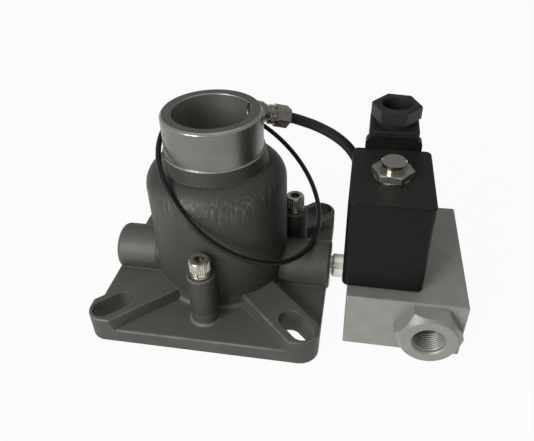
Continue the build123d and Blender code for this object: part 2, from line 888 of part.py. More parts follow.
# Pipe plug in the end of the block's cross drilling
with BuildPart() as block_plug:
    with BuildSketch(Plane.YZ.offset(block_x + block_w - plug_l)):
        with Locations((coil_y, cross_z)):
            Circle(plug_r)
    extrude(amount=plug_l - block_edge)
    with BuildSketch(Plane.YZ.offset(block_x + block_w - block_edge)):
        with Locations((coil_y, cross_z)):
            RegularPolygon(plug_key / 2, 6, major_radius=False)
    extrude(amount=-plug_l / 2, mode=Mode.SUBTRACT)
save(block_plug.part, "block_plug")

# Port fitting: hexagon with a chamfered round face and a threaded hole
with BuildPart() as port_fitting:
    with BuildSketch(Plane.XZ.offset(-block_y)):
        with Locations((port_x, port_z)):
            RegularPolygon(port_af / 2, 6, major_radius=False)
    extrude(amount=port_l)
    with BuildSketch(Plane((port_x, block_y, port_z), x_dir=(1, 0, 0), z_dir=(0, 0, 1))):
        with BuildLine():
            Polyline(
                (0, 0),
                (port_corner_r, 0),
                (port_corner_r, -port_l + port_cone_l),
                (port_face_r, -port_l),
                (0, -port_l),
                (0, 0),
            )
        make_face()
    revolve(axis=Axis((port_x, block_y, port_z), (0, 1, 0)), mode=Mode.INTERSECT)
    with BuildSketch(Plane.XZ.offset(-block_y - port_spigot_l)):
        with Locations((port_x, port_z)):
            Circle(port_spigot_r)
    extrude(amount=port_spigot_l)
    with BuildSketch(Plane((port_x, port_y, port_z), x_dir=(1, 0, 0), z_dir=(0, 0, 1))):
        with BuildLine():
            Polyline(
                (0, -1),
                (port_mouth_r + 1, -1),
                (port_hole_r, port_mouth_r - port_hole_r),
                (port_hole_r, port_depth),
                (0, port_depth + port_hole_r / 2),
                (0, -1),
            )
        make_face()
    revolve(axis=Axis((port_x, port_y, port_z), (0, 1, 0)), mode=Mode.SUBTRACT)
    with BuildSketch(Plane.XZ.offset(-block_y - port_spigot_l)):
        with Locations((port_x, port_z)):
            Circle(port_drill_r)
    extrude(amount=port_spigot_l, mode=Mode.SUBTRACT)
save(port_fitting.part, "port_fitting")

# Armature tube with its fixed core, and the seal under its flange
with BuildPart() as armature_tube:
    with BuildSketch(Plane((coil_x, coil_y, 0), x_dir=(1, 0, 0), z_dir=(0, -1, 0))):
        with BuildLine():
            Polyline(
                (tube_bore_r, block_top - tube_flange_h + cap_seal_w),
                (tube_flange_r, block_top - tube_flange_h + cap_seal_w),
                (tube_flange_r, block_top),
                (tube_r, block_top),
                (tube_r, tube_top - tube_edge_r),
                (tube_r - tube_edge_r, tube_top),
                (0, tube_top),
                (0, core_z),
                (tube_bore_r, core_z),
                (tube_bore_r, block_top - tube_flange_h + cap_seal_w),
            )
        make_face()
    revolve(axis=Axis((coil_x, coil_y, 0), (0, 0, 1)))
save(armature_tube.part, "armature_tube")

with BuildPart() as tube_seal:
    with BuildSketch(Plane.XY.offset(block_top - tube_flange_h)):
        with Locations((coil_x, coil_y)):
            Circle(tube_flange_r)
            Circle(tube_flange_r - 2, mode=Mode.SUBTRACT)
    extrude(amount=cap_seal_w)
save(tube_seal.part, "tube_seal")

# Plunger with its rubber seal and spring
plunger_low = valve_seat_z + seat_gap
plunger_r = tube_bore_r - running_gap
with BuildPart() as plunger:
    with BuildSketch(Plane.XY.offset(plunger_low + seat_gap)):
        with Locations((coil_x, coil_y)):
            Circle(plunger_r)
    extrude(amount=plunger_top - plunger_low - seat_gap)
    with BuildSketch(Plane.XY.offset(plunger_top)):
        with Locations((coil_x, coil_y)):
            Circle(plunger_spring_r + plunger_wire)
    extrude(amount=-plunger_pocket, mode=Mode.SUBTRACT)
    with BuildSketch(Plane.XY.offset(plunger_low + seat_gap)):
        with Locations((coil_x, coil_y)):
            Circle(plunger_seal_r)
    extrude(amount=plunger_seal_t - seat_gap, mode=Mode.SUBTRACT)
save(plunger.part, "plunger")

with BuildPart() as plunger_seal:
    with BuildSketch(Plane.XY.offset(plunger_low)):
        with Locations((coil_x, coil_y)):
            Circle(plunger_seal_r)
    extrude(amount=plunger_seal_t)
save(plunger_seal.part, "plunger_seal")
save(
    spring(
        plunger_spring_r,
        plunger_wire,
        plunger_coils,
        plunger_top - plunger_pocket + seat_gap,
        core_z,
        (coil_x, coil_y),
    ),
    "plunger_spring",
)

# Coil: one moulding with rounded edges
with BuildPart() as coil:
    with BuildSketch(Plane.XY.offset(block_top)):
        with Locations((coil_x, coil_y)):
            RectangleRounded(coil_w, coil_d, coil_edge_r)
    extrude(amount=coil_h)
    fillet(coil.faces().sort_by(Axis.Z)[-1].edges(), coil_edge_r / 3)
    fillet(coil.faces().sort_by(Axis.Z)[0].edges(), coil_edge_r / 2)
    with BuildSketch(Plane.XY.offset(block_top)):
        with Locations((coil_x, coil_y)):
            Circle(tube_r)
    extrude(amount=coil_h, mode=Mode.SUBTRACT)
save(coil.part, "coil")

with BuildPart() as coil_washer:
    with BuildSketch(Plane.XY.offset(coil_top)):
        with Locations((coil_x, coil_y)):
            Circle(coil_washer_r)
            Circle(tube_r, mode=Mode.SUBTRACT)
    extrude(amount=coil_washer_t)
save(coil_washer.part, "coil_washer")

with BuildPart() as coil_nut:
    with BuildSketch(Plane.XY.offset(coil_top + coil_washer_t)):
        with Locations((coil_x, coil_y)):
            RegularPolygon(coil_nut_af / 2, 6, major_radius=False, rotation=coil_nut_turn)
            Circle(tube_r, mode=Mode.SUBTRACT)
    extrude(amount=coil_nut_t)
    nut_axis = Axis((coil_x, coil_y, 0), (0, 0, 1))
    with BuildSketch(Plane((coil_x, coil_y, 0), x_dir=(1, 0, 0), z_dir=(0, -1, 0))):
        with BuildLine():
            nut_low_z = coil_top + coil_washer_t
            Polyline(
                (0, nut_low_z),
                (coil_nut_af, nut_low_z),
                (coil_nut_af, nut_low_z + coil_nut_t - 2.4),
                (coil_nut_af / 2 - 0.2, nut_low_z + coil_nut_t),
                (0, nut_low_z + coil_nut_t),
                (0, nut_low_z),
            )
        make_face()
    revolve(axis=nut_axis, mode=Mode.INTERSECT)
save(coil_nut.part, "coil_nut")

# Cable plug: gasket, housing with its gland neck, screw, gland nut and grommet
plug_mid_z = plug_base_z + plug_w / 2
with BuildPart() as plug_gasket:
    with BuildSketch(Plane.XZ.offset(-coil_back)):
        with Locations((plug_x, plug_mid_z)):
            RectangleRounded(plug_w, plug_w, plug_corner_r)
            Circle(plug_screw_r, mode=Mode.SUBTRACT)
    extrude(amount=-plug_gasket_t)
save(plug_gasket.part, "plug_gasket")

plug_base_y = coil_back + plug_gasket_t
plug_body_y = plug_base_y + (plug_base_t + plug_body_d) / 2
with BuildPart() as plug_body:
    with BuildSketch(Plane.XY.offset(plug_body_z)):
        with Locations((plug_x, plug_body_y)):
            RectangleRounded(plug_body_w, plug_body_d + plug_base_t, plug_corner_r)
    extrude(amount=plug_body_top - plug_body_z)
    fillet(plug_body.faces().sort_by(Axis.Z)[-1].edges(), plug_corner_r / 3)
with BuildPart() as plug_housing:
    with BuildSketch(Plane.XZ.offset(-plug_base_y)):
        with Locations((plug_x, plug_mid_z)):
            RectangleRounded(plug_w, plug_w, plug_corner_r)
    extrude(amount=-plug_base_t)
    add(plug_body.part)
    with BuildSketch(Plane.XY.offset(plug_body_top - plug_corner_r)):
        with Locations((gland_x, gland_y)):
            Circle(gland_r)
    extrude(amount=gland_neck_top - plug_body_top + plug_corner_r)
    with BuildSketch(Plane.XY.offset(gland_neck_top)):
        with Locations((gland_x, gland_y)):
            Circle(gland_mouth_r)
    extrude(amount=-gland_mouth_r, mode=Mode.SUBTRACT)
    with BuildSketch(Plane.XZ.offset(-plug_base_y)):
        with Locations((plug_x, plug_mid_z)):
            Circle(plug_screw_r)
    extrude(amount=-plug_base_t - plug_body_d, mode=Mode.SUBTRACT)
save(plug_housing.part, "plug_housing")

plug_back = plug_base_y + plug_base_t + plug_body_d
with BuildPart() as plug_screw:
    with BuildSketch(Plane.XZ.offset(-coil_back)):
        with Locations((plug_x, plug_mid_z)):
            Circle(plug_screw_r)
    extrude(amount=coil_back - plug_back)
    with BuildSketch(Plane.XZ.offset(-plug_back)):
        with Locations((plug_x, plug_mid_z)):
            Circle(plug_screw_head_r)
    extrude(amount=-plug_screw_head_h)
    with BuildSketch(Plane.XZ.offset(-plug_back - plug_screw_head_h)):
        with Locations((plug_x, plug_mid_z)):
            Rectangle(2 * plug_screw_head_r, 0.8)
    extrude(amount=plug_screw_head_h / 2, mode=Mode.SUBTRACT)
save(plug_screw.part, "plug_screw")

with BuildPart() as gland_nut:
    with BuildSketch(Plane.XY.offset(gland_neck_top)):
        with Locations((gland_x, gland_y)):
            RegularPolygon(gland_nut_af / 2, 6, major_radius=False, rotation=gland_turn)
            Circle(gland_mouth_r, mode=Mode.SUBTRACT)
    extrude(amount=gland_nut_top - gland_neck_top)
    chamfer(gland_nut.faces().sort_by(Axis.Z)[-1].edges(), 0.8)
save(gland_nut.part, "gland_nut")

with BuildPart() as gland_grommet:
    with BuildSketch(Plane.XY.offset(gland_neck_top - gland_mouth_r)):
        with Locations((gland_x, gland_y)):
            Circle(gland_mouth_r)
            Circle(gland_mouth_r / 2, mode=Mode.SUBTRACT)
    extrude(amount=gland_mouth_r)
save(gland_grommet.part, "gland_grommet")
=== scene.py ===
"""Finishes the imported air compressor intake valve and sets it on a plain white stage.

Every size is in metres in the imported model's frame: the origin is on the valve's axis at the
flange's underside, +Z points up the inlet neck and +X points to the control block.
"""

import json
import math

import bmesh
import bpy
from mathutils import Matrix, Vector


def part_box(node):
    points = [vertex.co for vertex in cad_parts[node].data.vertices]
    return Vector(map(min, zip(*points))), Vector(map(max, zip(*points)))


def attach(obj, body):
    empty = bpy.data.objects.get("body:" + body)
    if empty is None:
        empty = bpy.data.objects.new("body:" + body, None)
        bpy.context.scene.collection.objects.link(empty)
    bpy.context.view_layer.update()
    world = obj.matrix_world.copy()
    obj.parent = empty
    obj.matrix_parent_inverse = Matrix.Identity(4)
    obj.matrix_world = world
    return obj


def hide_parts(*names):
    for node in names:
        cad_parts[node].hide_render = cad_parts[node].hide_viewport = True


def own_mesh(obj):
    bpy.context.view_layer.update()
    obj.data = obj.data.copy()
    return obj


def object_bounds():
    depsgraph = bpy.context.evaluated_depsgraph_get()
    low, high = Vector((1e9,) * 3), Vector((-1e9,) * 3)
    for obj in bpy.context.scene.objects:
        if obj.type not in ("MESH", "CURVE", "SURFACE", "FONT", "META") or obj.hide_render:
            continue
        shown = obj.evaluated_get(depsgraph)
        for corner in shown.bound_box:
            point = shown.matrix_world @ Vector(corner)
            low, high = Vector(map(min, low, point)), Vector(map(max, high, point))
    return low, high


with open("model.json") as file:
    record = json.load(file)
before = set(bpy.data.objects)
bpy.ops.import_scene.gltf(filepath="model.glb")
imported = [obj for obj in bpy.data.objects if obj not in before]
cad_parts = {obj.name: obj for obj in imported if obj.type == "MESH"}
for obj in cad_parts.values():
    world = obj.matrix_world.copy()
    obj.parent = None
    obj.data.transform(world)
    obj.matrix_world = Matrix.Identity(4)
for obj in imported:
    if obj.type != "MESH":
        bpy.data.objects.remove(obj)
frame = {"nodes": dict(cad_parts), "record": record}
cad_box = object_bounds()
behaviour = frame["record"]["behaviour"]

bl_info = {
    "name": "Intake Valve Finisher",
    "version": (1, 0, 0),
    "blender": (4, 5, 0),
    "location": "View3D > Sidebar > Intake Valve",
    "description": "Surface finishes, threads and studio for a packed compressor intake valve",
    "category": "Object",
}

# Body casting: heights at which one of its surfaces gives way to the next
UNDERSIDE_Z = 0.0001
FLANGE_Z = 0.0147
BORE_LOW_Z = 0.02
PILLAR_EDGE_Z = 0.0368
COLLAR_Z = 0.0772
NECK_Z = 0.0847
NECK_FOOT_Z = 0.08488
RIM_Z = 0.1034

# Body casting: heights between which the band of streaks comes in, and goes out again
STREAKS_LOW_Z = (0.059, 0.068)
STREAKS_HIGH_Z = (0.072, 0.0755)

# Body casting: how far its surfaces lie from the valve's axis
BORE_REACH = 0.0196
RIM_REACH = 0.0238
COLLAR_REACH = 0.0252
NECK_REACH = 0.0255
NECK_FOOT_REACH = 0.0262
DOME_REACH = 0.0372
BOSS_END_X = 0.0611

# Cap screws: they stand on one circle round the valve's axis
SCREW_CIRCLE = 0.0425
SCREW_ANGLES = (-90.0, 25.0, 155.0)
SCREW_PLACES = [
    (SCREW_CIRCLE * math.cos(math.radians(angle)), SCREW_CIRCLE * math.sin(math.radians(angle)))
    for angle in SCREW_ANGLES
]
KEY_HOLE_REACH = 0.00252
KEY_HOLE_LOW_Z = 0.0433
KEY_HOLE_TOP_Z = 0.0465
HEAD_RADIUS = 0.005

# Port fitting: the axis of its hole, and the thread in it
PORT_X = 0.111
PORT_Z = 0.018
THREAD_MOUTH_Y = -0.0520
THREAD_LENGTH = 0.0128
THREAD_ROOT_RADIUS = 0.00761
THREAD_CREST_RADIUS = 0.00705

# Stage
FLOOR_DROP = 0.0002  # keeps the floor clear of the flange's underside
FLOOR_GLOW = 0.95  # share of plain white in what the camera sees of the floor
LAMP_AIM = (0.03, 0.0, 0.04)
KEY_PLACE = (-0.44, -0.74, 0.46)
KEY_SIZE = 0.45
FILL_PLACE = (0.1, 0.1, 0.95)
FILL_SIZE = 0.8
SENSOR_WIDTH = 36.0


def tint(code):
    """A colour written as six hexadecimal digits, as the linear values a shader takes."""
    shares = [int(code[i : i + 2], 16) / 255 for i in (0, 2, 4)]
    return tuple(s / 12.92 if s <= 0.04045 else ((s + 0.055) / 1.055) ** 2.4 for s in shares)


def shade(colour, level):
    """A colour made lighter or darker."""
    return tuple(min(1.0, part * level) for part in colour)


def colour_setting(name, description, code):
    """A colour that the panel shows."""
    return bpy.props.FloatVectorProperty(
        name=name,
        description=description,
        subtype="COLOR",
        size=3,
        min=0.0,
        max=1.0,
        default=tint(code),
    )


def number_setting(name, description, default, unit="NONE", low=0.0, high=100.0):
    """A number that the panel shows, with its unit."""
    return bpy.props.FloatProperty(
        name=name, description=description, default=default, min=low, max=high, unit=unit
    )


def angle_setting(name, description, degrees):
    """An angle that the panel shows."""
    return bpy.props.FloatProperty(
        name=name, description=description, subtype="ANGLE", default=math.radians(degrees)
    )


class IntakeValveFinish(bpy.types.PropertyGroup):
    """Colours of the finishes and the scale of their texture."""

    casting: colour_setting("Casting", "Cast skin of the body", "56554F")
    machined: colour_setting("Machined casting", "Turned neck, bore and faces", "84837D")
    block: colour_setting("Control block", "Milled and blasted block", "A09F99")
    moulding: colour_setting("Moulding", "Coil and cable plug", "151615")
    nylon: colour_setting("Gland", "Gland nut and grommet of the cable plug", "2C2D2A")
    # Painted sheen and painted highlight: the moulding's top faces and edges made lighter
    painted_sheen: colour_setting("Painted sheen", "Painted light on the moulding's top faces and edges", "33332F")
    rubber: colour_setting("Rubber", "Rings and seals", "171716")
    hose: colour_setting("Hose", "Outside of the bleed hose", "2A2A29")
    plated: colour_setting("Nickel plate", "Hose fittings and coil nut", "C6C2B4")
    chrome: colour_setting("Chrome", "Armature tube, nipple and bright edges", "C2BFB6")
    zinc: colour_setting("Zinc plate", "Screws and washers", "CFCCC2")
    bronze: colour_setting("Bronze", "Rod bush", "A8864A")
    steel: colour_setting("Turned steel", "Valve disc, plunger and springs", "8F8E8A")
    skin_grain: number_setting("Cast grain", "Size of the cast skin's grain", 0.0011, "LENGTH")
    thread_pitch: number_setting(
        "Port thread pitch", "Pitch of the port's thread", 0.001337, "LENGTH"
    )


class IntakeValveStage(bpy.types.PropertyGroup):
    """The camera's place, the lamps and the floor."""

    eye: bpy.props.FloatVectorProperty(
        name="Camera place",
        description="Where the camera stands",
        size=3,
        subtype="TRANSLATION",
        default=(0.07088, -0.23295, 0.21857),
    )
    pitch: angle_setting("Camera pitch", "How far the camera looks down", 36.80)
    yaw: angle_setting("Camera yaw", "How far the camera turns to the left", 10.98)
    roll: angle_setting("Camera roll", "How far the camera leans", -1.72)
    lens: number_setting(
        "Lens", "Focal length on a 36 mm wide sensor", 36.966, "CAMERA", 10.0, 200.0
    )
    key: number_setting("Key lamp", "Power of the lamp at the left front", 6.7, "POWER")
    fill: number_setting("Fill lamp", "Power of the lamp above", 1.2, "POWER")
    sky: number_setting("Surroundings", "Strength of the plain light all round", 0.24)
    floor_size: number_setting("Floor size", "Side of the square floor", 6.0, "LENGTH", 0.5, 20.0)


class Wire:
    """A node's output that reads like a number: arithmetic on it adds Math nodes."""

    def __init__(self, recipe, socket):
        self.recipe = recipe
        self.socket = socket

    def math(self, operation, *values):
        """A Math node of the operation, on wires or numbers."""
        settings = {"operation": operation}
        return self.recipe.node("ShaderNodeMath", settings, dict(enumerate(values)))

    def __add__(self, other):
        return self.math("ADD", self, other)

    def __radd__(self, other):
        return self.math("ADD", other, self)

    def __sub__(self, other):
        return self.math("SUBTRACT", self, other)

    def __rsub__(self, other):
        return self.math("SUBTRACT", other, self)

    def __mul__(self, other):
        return self.math("MULTIPLY", self, other)

    def __rmul__(self, other):
        return self.math("MULTIPLY", other, self)

    def __pow__(self, other):
        return self.math("POWER", self, other)

    def __gt__(self, other):
        return self.math("GREATER_THAN", self, other)

    def __lt__(self, other):
        return self.math("LESS_THAN", self, other)

    def root(self):
        return self.math("SQRT", self)

    def size(self):
        return self.math("ABSOLUTE", self)

    def most(self, other):
        return self.math("MAXIMUM", self, other)

    def near(self, centre, reach):
        """1 within reach of a centre and 0 beyond it."""
        return (self - centre).size() < reach

    def ramp(self, low, high):
        """0 at or below low, 1 at or above high, and even between them."""
        return self.recipe.node(
            "ShaderNodeMapRange",
            {"clamp": True},
            {"Value": self, "From Min": low, "From Max": high, "To Min": 0.0, "To Max": 1.0},
        )


class Recipe:
    """One finish: a material with its shader and the nodes that vary it."""

    def __init__(self, name, **steady):
        self.material = bpy.data.materials.new(name)
        self.material.use_nodes = True
        self.tree = self.material.node_tree
        self.tree.nodes.clear()
        self.shader = self.tree.nodes.new("ShaderNodeBsdfPrincipled")
        self.output = self.tree.nodes.new("ShaderNodeOutputMaterial")
        self.tree.links.new(self.shader.outputs[0], self.output.inputs["Surface"])
        self.rounding = None
        for socket, value in steady.items():
            self.socket(socket).default_value = value

    def socket(self, name):
        """The shader's socket that a keyword such as base_color means."""
        return self.shader.inputs[name.replace("_", " ").title().replace("Ior", "IOR")]

    def feed(self, socket, value):
        """Links a wire to a socket, or sets the socket to a number or colour."""
        if isinstance(value, Wire):
            self.tree.links.new(value.socket, socket)
        elif socket.type == "RGBA" and len(value) == 3:
            socket.default_value = (*value, 1.0)
        else:
            socket.default_value = value

    def node(self, kind, settings=None, sockets=None, out=0):
        """Adds a node, sets it, feeds its sockets and gives its output."""
        made = self.tree.nodes.new(kind)
        for name, value in (settings or {}).items():
            setattr(made, name, value)
        for name, value in (sockets or {}).items():
            self.feed(made.inputs[name], value)
        return Wire(self, made.outputs[out])

    def point(self):
        """The point on the piece."""
        return self.node("ShaderNodeTexCoord", out="Object")

    def axes(self, vector):
        """The x, y and z of a vector."""
        return [self.node("ShaderNodeSeparateXYZ", sockets={0: vector}, out=i) for i in range(3)]

    def upward(self):
        """How far the surface faces up: 1 on a level top, 0 on a wall."""
        return self.axes(self.node("ShaderNodeNewGeometry", out="Normal"))[2]

    def noise(self, point, grain, detail=3.0, rough=0.55, stretch=(1.0, 1.0, 1.0)):
        """Cloudy noise with lumps of about the grain's size."""
        spread = self.node(
            "ShaderNodeVectorMath", {"operation": "MULTIPLY"}, {0: point, 1: stretch}
        )
        sockets = {"Vector": spread, "Scale": 1 / grain, "Detail": detail, "Roughness": rough}
        return self.node("ShaderNodeTexNoise", sockets=sockets)

    def mix(self, share, first, second):
        """A colour between two colours."""
        sockets = {0: share, 6: first, 7: second}
        return self.node("ShaderNodeMix", {"data_type": "RGBA"}, sockets, 2)

    def edges(self, radius, low=0.03, high=0.25):
        """Rounds the light on edges to a radius, and gives 1 on the edges and 0 beside them."""
        self.rounding = self.node("ShaderNodeBevel", {"samples": 6}, {"Radius": radius})
        flat = self.node("ShaderNodeNewGeometry", out="Normal")
        sockets = {0: self.rounding, 1: flat}
        along = self.node("ShaderNodeVectorMath", {"operation": "DOT_PRODUCT"}, sockets, "Value")
        return (1 - along).ramp(low, high)

    def bump(self, height, distance):
        """Small relief: height from 0 to 1 stands for the distance in metres."""
        sockets = {"Height": height, "Distance": distance}
        if self.rounding:
            sockets["Normal"] = self.rounding
        self.feed(self.shader.inputs["Normal"], self.node("ShaderNodeBump", sockets=sockets))

    def paint(self, **varying):
        """Feeds the shader's sockets that the keywords name."""
        for socket, value in varying.items():
            self.feed(self.socket(socket), value)

    def mottle(
        self, colour, dark=0.86, light=1.1, lump=0.009, speck=0.0006, speck_ramp=(0.3, 0.7)
    ):
        """Colours the surface between two shades by large and fine noise, and gives both."""
        point = self.point()
        cloud = self.noise(point, lump)
        fine = self.noise(point, speck, detail=2.0)
        share = cloud.ramp(0.3, 0.7) * 0.6 + fine.ramp(*speck_ramp) * 0.4
        self.paint(base_color=self.mix(share, shade(colour, dark), shade(colour, light)))
        return cloud, fine


def dress(recipe, *nodes):
    """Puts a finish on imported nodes."""
    for node in nodes:
        piece = frame["nodes"][node]
        piece.data.materials.clear()
        piece.data.materials.append(recipe.material)


def drawn_piece(context, name, mesh, finish):
    """Turns a drawn mesh into an object in the scene, with a finish that is already made."""
    bmesh.ops.recalc_face_normals(mesh, faces=mesh.faces)
    data = bpy.data.meshes.new(name)
    mesh.to_mesh(data)
    mesh.free()
    data.materials.append(bpy.data.materials[finish])
    piece = bpy.data.objects.new(name, data)
    context.scene.collection.objects.link(piece)
    return piece


class CastingOperator(bpy.types.Operator):
    """Cast skin on the body, with its machined neck, bore, joint face and boss end"""

    bl_idname = "intake_valve.casting"
    bl_label = "Body casting"

    def streaks(self, skin, point, patch):
        """Pale upright strokes in a band round the front of the dome's shoulder."""
        x, y, z = skin.axes(point)
        band = z.ramp(*STREAKS_LOW_Z) * (1 - z.ramp(*STREAKS_HIGH_Z))
        behind = (y + 0.012 - 0.3 * x).ramp(-0.014, 0.0)
        band = band * (1 - behind)
        strokes = skin.noise(point, 0.0013, rough=0.7, stretch=(1.0, 1.0, 0.16))
        return strokes.ramp(0.48, 0.66) * (band * (0.4 + 0.6 * patch) + 0.05 * patch)

    def edge_wear_and_highlight(self, skin, z, edge, patch):
        """Pale edges, partly wear and partly painted highlight; the rounded ones, a painted
        highlight, only on the flange and on the screw pillars.
        """
        up = skin.upward()
        rounded = up.ramp(0.3, 0.5) * (1 - up.ramp(0.86, 0.97))
        rounded = rounded * ((z < FLANGE_Z).most(z.near(PILLAR_EDGE_Z, 0.0007)))
        return (rounded * 0.8).most(edge) * (0.35 + 0.5 * patch)

    def execute(self, context):
        finish = context.scene.intake_valve_finish
        skin = Recipe("cast skin", specular_ior_level=0.5)
        point = skin.point()
        x, y, z = skin.axes(point)
        radius = (x * x + y * y).root()
        edge = skin.edges(0.0007)
        cloud = skin.noise(point, 0.016, detail=4.0)
        grain = skin.noise(point, finish.skin_grain, rough=0.6)
        patch = skin.noise(point, 0.011, detail=2.0).ramp(0.42, 0.6)
        pits = 1 - skin.noise(point, 0.0019, detail=2.0).ramp(0.26, 0.36)
        rings = skin.noise(point, 0.0006, detail=2.0, rough=0.5, stretch=(0.02, 0.02, 1.0))

        above = z > FLANGE_Z
        # Painted light: the flange's level tops lighter than the rest of the casting
        flange_top_painted_light = skin.upward().ramp(0.8, 0.98) * (z < FLANGE_Z)
        # Painted shade: a darker band on the collar under the neck
        collar_painted_shade = (z > COLLAR_Z) * (z < NECK_Z) * (radius > COLLAR_REACH)
        raw = skin.mix(
            cloud.ramp(0.3, 0.7) * 0.6 + grain.ramp(0.3, 0.7) * 0.4,
            shade(finish.casting, 0.72),
            shade(finish.casting, 1.22),
        )
        # Painted shade: the casting above the flange and within the dome's reach made darker
        dome = above * (x.size() < DOME_REACH)
        # Painted light: the blind boss at the left lighter than the rest of the casting
        boss_painted_light = (x < -DOME_REACH) * above
        for share, colour in (
            (dome * 0.68, shade(finish.casting, 0.55)),
            (boss_painted_light * 0.7, shade(finish.casting, 1.5)),
            (flange_top_painted_light, shade(finish.casting, 1.36)),
            (self.streaks(skin, point, patch) * 0.72, finish.machined),
            (pits * 0.3, shade(finish.casting, 0.5)),
            (collar_painted_shade * 0.75, shade(finish.casting, 0.5)),
            (self.edge_wear_and_highlight(skin, z, edge, patch), shade(finish.machined, 0.95)),
        ):
            raw = skin.mix(share, raw, colour)

        neck = (z > NECK_Z) * (radius < NECK_REACH)
        bore = (radius < BORE_REACH) * (z > BORE_LOW_Z)
        cut = neck.most(bore).most(z < UNDERSIDE_Z).most(x > BOSS_END_X)
        rim = (z > RIM_Z) * (radius > RIM_REACH) * neck
        foot_highlight = z.near(NECK_FOOT_Z, 0.0002) * (radius < NECK_FOOT_REACH)
        clean = skin.mix(
            rings.ramp(0.35, 0.65) * 0.35 + cloud.ramp(0.3, 0.7) * 0.65,
            shade(finish.machined, 0.78),
            shade(finish.machined, 1.02),
        )
        # Painted light: the bore lighter than the other turned faces
        clean = skin.mix(bore, clean, shade(finish.machined, 1.75))
        # Painted highlight: the rim's chamfer and a thin line at the neck's foot in the chrome's
        # colour
        clean = skin.mix(rim.most(foot_highlight), clean, shade(finish.chrome, 0.95))

        skin.paint(
            base_color=skin.mix(cut.most(foot_highlight), raw, clean),
            roughness=0.56 - 0.2 * cut - 0.12 * rim + 0.1 * (grain - 0.5) - 0.08 * edge,
            metallic=0.3 + 0.5 * cut,
        )
        skin.bump(grain * (1 - cut) * 0.55 + cloud * 0.5 * (1 - cut) + rings * cut * 0.05, 0.0003)
        dress(skin, "body_casting")
        return {"FINISHED"}


class ControlBlockOperator(bpy.types.Operator):
    """Blasted light metal on the control block and its port fitting"""

    bl_idname = "intake_valve.control_block"
    bl_label = "Control block and port"

    def execute(self, context):
        finish = context.scene.intake_valve_finish
        metal = Recipe("blasted block", metallic=0.35, specular_ior_level=0.4)
        edge = metal.edges(0.0006)
        cloud, fine = metal.mottle(finish.block)
        metal.paint(roughness=0.44 + 0.14 * (fine - 0.5) + 0.1 * (cloud - 0.5) - 0.1 * edge)
        metal.bump(fine, 0.00006)
        dress(metal, "control_block", "port_fitting")
        return {"FINISHED"}


class PortThreadOperator(bpy.types.Operator):
    """Thread inside the port fitting's hole"""

    bl_idname = "intake_valve.port_thread"
    bl_label = "Port thread"

    def execute(self, context):
        pitch = context.scene.intake_valve_finish.thread_pitch
        steps = 40  # in one turn
        count = int((THREAD_LENGTH / pitch - 1) * steps)
        depth = THREAD_ROOT_RADIUS - THREAD_CREST_RADIUS
        mesh = bmesh.new()
        profiles = []
        for i in range(count + 1):
            angle = math.tau * i / steps
            along = THREAD_MOUTH_Y + pitch * (0.5 + i / steps)
            # The thread grows out of the hole over its first half turn and fades over its last
            fade = min(1.0, i / steps * 2, (count - i) / steps * 2)
            crest = THREAD_ROOT_RADIUS - depth * fade
            profiles.append(
                [
                    mesh.verts.new(
                        (
                            PORT_X + radius * math.cos(angle),
                            along + share * pitch,
                            PORT_Z + radius * math.sin(angle),
                        )
                    )
                    for radius, share in (
                        (THREAD_ROOT_RADIUS, -0.5),
                        (crest, -0.08),
                        (crest, 0.08),
                        (THREAD_ROOT_RADIUS, 0.5),
                    )
                ]
            )
        for one, two in zip(profiles, profiles[1:]):
            for i in range(3):
                mesh.faces.new((one[i], one[i + 1], two[i + 1], two[i]))
        thread = drawn_piece(context, "port_thread", mesh, "blasted block")
        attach(thread, "root")
        return {"FINISHED"}


class SolenoidOperator(bpy.types.Operator):
    """Moulded coil and cable plug, with the gland and the chromed tube"""

    bl_idname = "intake_valve.solenoid"
    bl_label = "Solenoid"

    def execute(self, context):
        finish = context.scene.intake_valve_finish
        for node, level in (("coil", 0.88), ("plug_housing", 2.2)):
            shell = Recipe(node.replace("_", " ") + " moulding", specular_ior_level=0.16)
            point = shell.point()
            edge = shell.edges(0.0005)
            cloud = shell.noise(point, 0.012)
            fine = shell.noise(point, 0.0005, detail=2.0)
            plain = shell.mix(
                cloud.ramp(0.3, 0.7) * 0.6 + fine.ramp(0.35, 0.65) * 0.4,
                shade(finish.moulding, 0.8 * level),
                shade(finish.moulding, 1.2 * level),
            )
            # Painted sheen: the top faces lighter; painted highlight: the edges lighter
            painted_sheen = shell.upward().ramp(0.6, 0.95) * 0.7 * (0.6 + 0.4 * cloud)
            shell.paint(
                base_color=shell.mix(painted_sheen.most(edge * 0.8), plain, finish.painted_sheen),
                roughness=0.46 + 0.12 * (cloud - 0.5) - 0.08 * edge,
            )
            shell.bump(fine, 0.00006)
            dress(shell, node)

        nylon = Recipe("gland nylon", specular_ior_level=0.25)
        cloud, fine = nylon.mottle(finish.nylon)
        nylon.paint(roughness=0.5 + 0.12 * (cloud - 0.5))
        nylon.bump(fine, 0.00004)
        dress(nylon, "gland_nut", "gland_grommet")

        bright = Recipe("bright chrome", metallic=1.0)
        haze = bright.noise(bright.point(), 0.004)
        bright.paint(
            base_color=bright.mix(haze, shade(finish.chrome, 0.9), finish.chrome),
            roughness=0.12 + 0.1 * haze,
        )
        dress(bright, "armature_tube")
        return {"FINISHED"}


